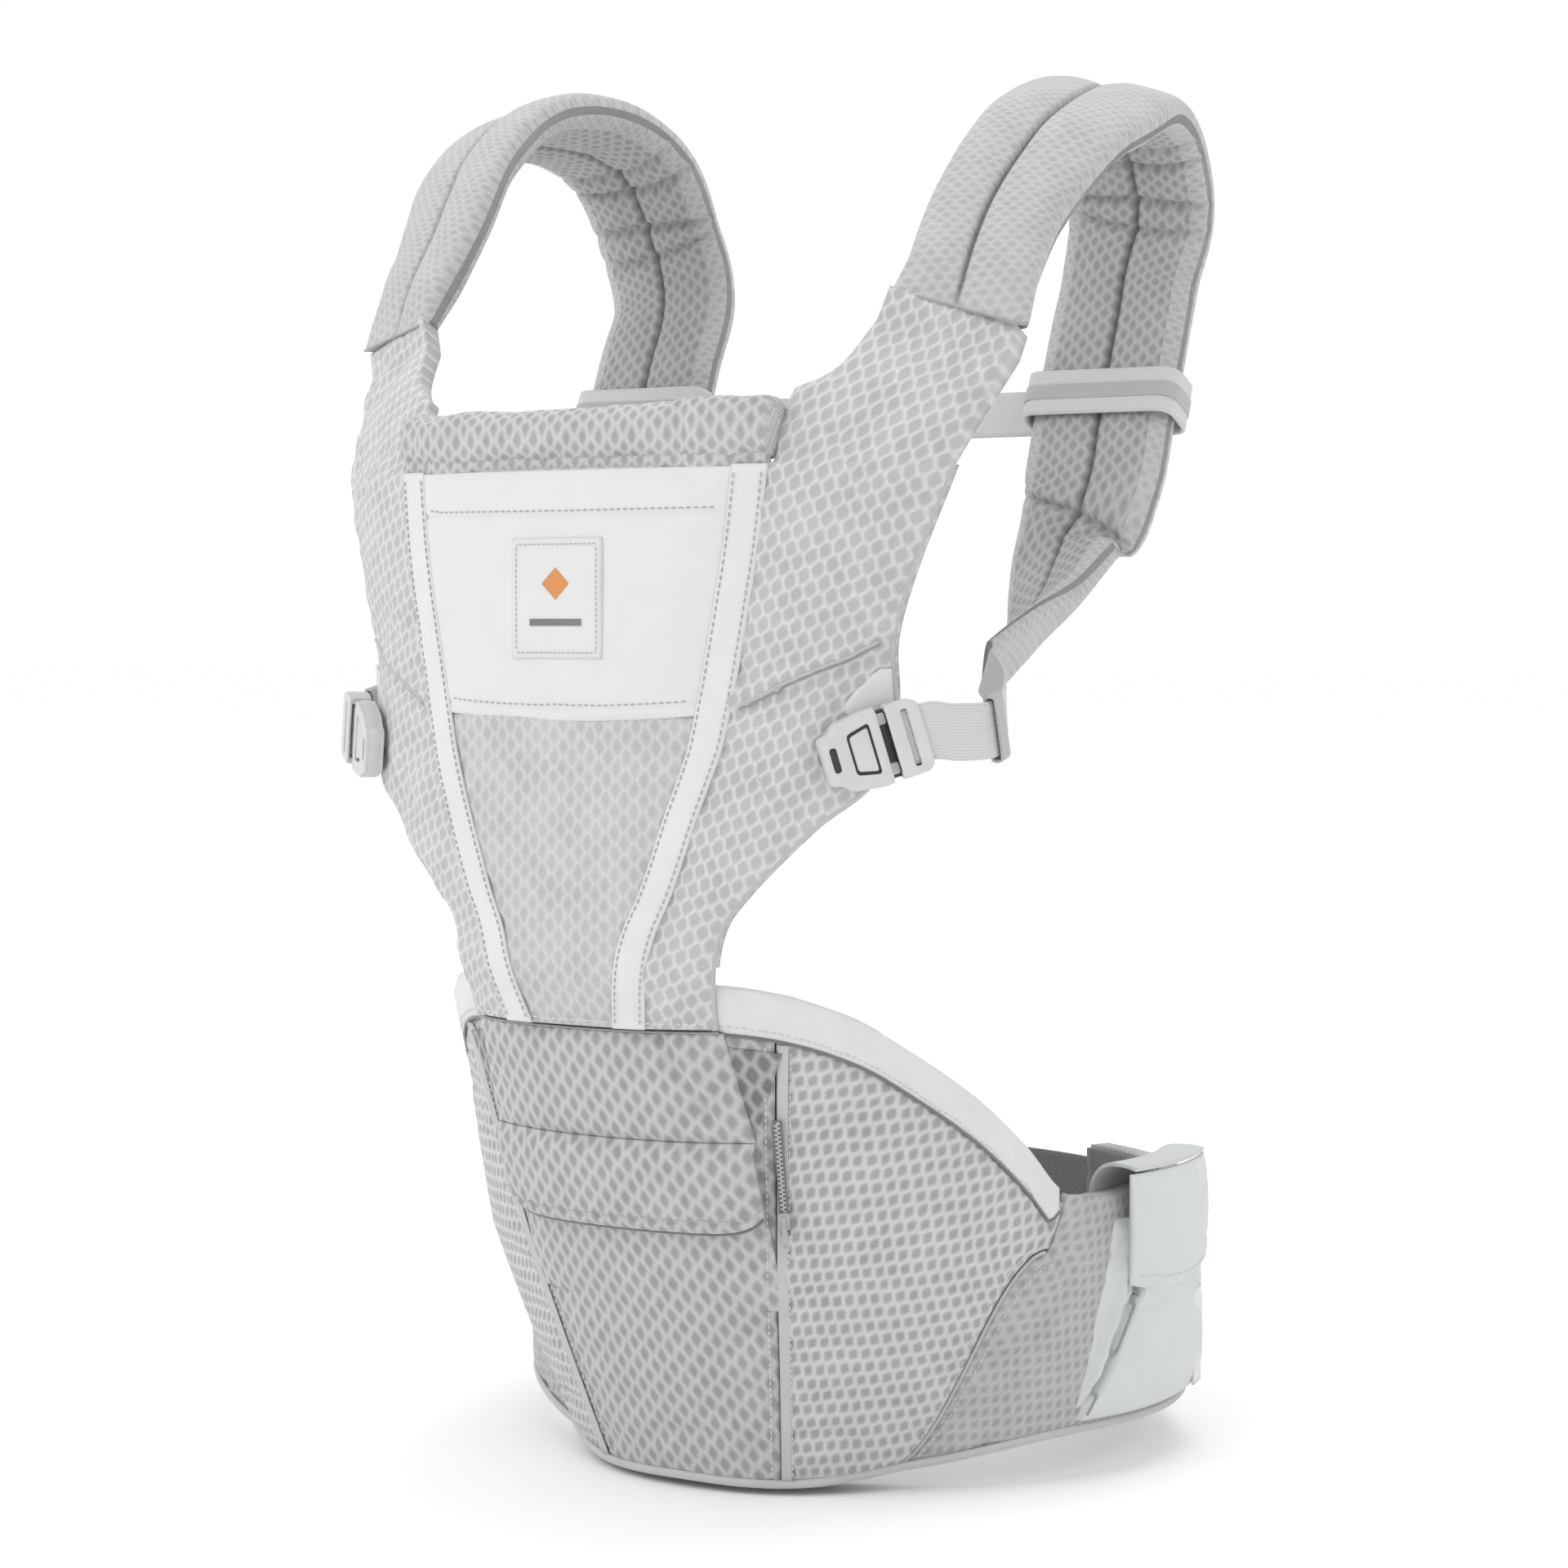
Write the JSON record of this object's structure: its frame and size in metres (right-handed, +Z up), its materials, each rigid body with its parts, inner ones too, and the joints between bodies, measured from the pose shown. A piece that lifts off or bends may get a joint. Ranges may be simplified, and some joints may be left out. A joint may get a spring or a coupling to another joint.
{
  "type": "soft baby carrier",
  "caption": "Soft baby carrier with a padded waist belt and built-in hip seat, child panel with neck roll, padded shoulder straps, side buckles and a strap across the back.",
  "frame": {"origin": "centre of the waist opening at the level of the belt's lowest edge", "axes": "+Z up along the wearer, front of the carrier faces -Y, +X is the wearer's left"},
  "size_m": [0.3854, 0.4324, 0.6744],
  "materials": {
    "spacer_mesh": "open knitted mesh",
    "smooth_cloth": "matt smooth cloth",
    "pale_cloth": "matt smooth cloth",
    "dark_lining": "brushed loop cloth",
    "webbing": "woven webbing",
    "buckle_plastic": "fine moulded texture",
    "foam": "closed-cell foam",
    "zip_metal": "satin"
  },
  "bodies": {
    "carrier": {"seat_core": "foam", "seat_top": "smooth_cloth", "seat_rim": "smooth_cloth", "front_cover": "spacer_mesh", "side_cover_left": "spacer_mesh", "side_cover_right": "spacer_mesh", "belt_pad_left": "spacer_mesh", "belt_pad_right": "spacer_mesh", "belt_lining": "dark_lining", "bottom_binding": "smooth_cloth", "side_pouch": "pale_cloth", "flap_root": "pale_cloth", "pouch_label": "pale_cloth", "closure_hook": "dark_lining", "closure_loop": "dark_lining", "waist_web_left": "webbing", "waist_web_right": "webbing", "waist_buckle_socket": "buckle_plastic", "apron": "spacer_mesh", "flap_pocket": "spacer_mesh", "zip_tape": "dark_lining", "panel_liner": "spacer_mesh", "panel_center": "spacer_mesh", "panel_wing_left": "spacer_mesh", "panel_wing_right": "spacer_mesh", "edge_tape_left": "smooth_cloth", "edge_tape_right": "smooth_cloth", "pocket_panel": "pale_cloth", "pocket_hem": "pale_cloth", "front_label": "pale_cloth", "shoulder_strap_left": "spacer_mesh", "shoulder_strap_right": "spacer_mesh", "strap_web_left": "webbing", "strap_web_right": "webbing", "web_keeper_left": "webbing", "web_keeper_right": "webbing", "buckle_tab_left": "smooth_cloth", "buckle_tab_right": "smooth_cloth", "side_socket_left": "buckle_plastic", "side_socket_right": "buckle_plastic"},
    "side_plug_left": {"side_plug_left": "buckle_plastic"},
    "side_plug_right": {"side_plug_right": "buckle_plastic"},
    "neck_roll": {"neck_roll": "spacer_mesh"},
    "pocket_flap": {"pocket_flap": "spacer_mesh"},
    "pouch_flap": {"pouch_flap": "pale_cloth"},
    "zip_slider": {"zip_slider": "zip_metal"},
    "back_strap": {"back_sleeve_left": "webbing", "back_sleeve_right": "webbing", "back_web_left": "webbing", "back_web_right": "webbing", "back_buckle_socket": "buckle_plastic"},
    "back_plug": {"back_buckle_plug": "buckle_plastic"},
    "waist_plug": {"waist_buckle_plug": "buckle_plastic"}
  },
  "joints": [
    {"name": "side_buckle_right_release", "type": "slide", "parent": "carrier", "child": "side_plug_right", "axis": [0.7217, 0.6274, 0.2924], "range_m": [0, 0.02], "deforming": ["strap_web_right"]},
    {"name": "side_buckle_left_release", "type": "slide", "parent": "carrier", "child": "side_plug_left", "axis": [-0.7217, 0.6274, 0.2924], "range_m": [0, 0.02], "deforming": ["strap_web_left"]},
    {"name": "back_strap_height", "type": "slide", "parent": "carrier", "child": "back_strap", "axis": [0, 0.3846, 0.9231], "range_m": [-0.02, 0.03]},
    {"name": "back_buckle_release", "type": "slide", "parent": "back_strap", "child": "back_plug", "axis": [1, 0, 0], "range_m": [0, 0.02]},
    {"name": "waist_buckle_release", "type": "slide", "parent": "carrier", "child": "waist_plug", "axis": [1, 0, 0], "range_m": [0, 0.02]},
    {"name": "neck_roll_fold", "type": "hinge", "parent": "carrier", "child": "neck_roll", "pos_m": [0, -0.276, 0.473], "axis": [1, 0, 0], "range_deg": [0, 150]},
    {"name": "pocket_flap_lift", "type": "hinge", "parent": "carrier", "child": "pocket_flap", "pos_m": [0, -0.24316, 0.172], "axis": [-1, 0, 0], "range_deg": [0, 110]},
    {"name": "pouch_flap_lift", "type": "hinge", "parent": "carrier", "child": "pouch_flap", "pos_m": [0.18439, -0.00553, 0.142], "axis": [-0.0349, -0.9994, 0], "range_deg": [0, 110]},
    {"name": "zip_run", "type": "slide", "parent": "carrier", "child": "zip_slider", "axis": [0.0801, -0.2852, 0.9551], "range_m": [0, 0.036]}
  ]
}
